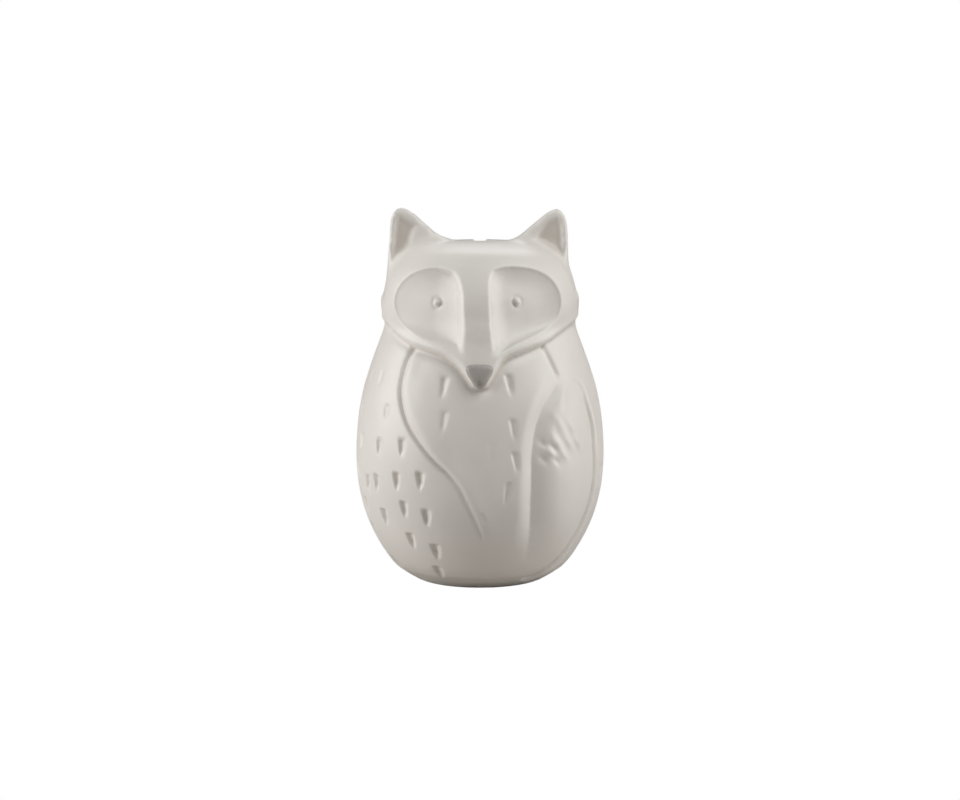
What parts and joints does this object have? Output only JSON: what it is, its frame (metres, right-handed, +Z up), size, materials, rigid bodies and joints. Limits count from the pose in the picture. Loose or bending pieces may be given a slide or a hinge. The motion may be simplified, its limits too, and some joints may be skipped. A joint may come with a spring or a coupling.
{
  "type": "figural animal coin bank",
  "caption": "Sitting fox coin bank: a hollow glazed ceramic body with a coin slot in the crown and a soft stopper with a pull tab in the base.",
  "frame": {"origin": "middle of the round foot, on the surface that the bank stands on", "axes": "+Z up, -Y the way the fox faces, +X to the right of a viewer who faces the fox"},
  "size_m": [0.0998, 0.0999, 0.1497],
  "materials": {
    "white_glaze": "warm white satin glaze, unglazed foot ring",
    "grey_glaze": "soft grey satin glaze",
    "soft_rubber": "matt moulded soft rubber"
  },
  "bodies": {
    "bank": {"ceramic_body": "white_glaze", "nose": "grey_glaze"},
    "stopper": {"stopper_plug": "soft_rubber"},
    "tab": {"pull_tab": "soft_rubber"}
  },
  "joints": [
    {"name": "stopper_pull", "type": "slide", "parent": "bank", "child": "stopper", "axis": [0, 0, -1], "range_m": [0, 0.025]},
    {"name": "tab_lift", "type": "hinge", "parent": "stopper", "child": "tab", "pos_m": [0, 0.0045, 0.001], "axis": [1, 0, 0], "range_deg": [0, 100], "stiffness_Nm_per_rad": 0.003}
  ]
}
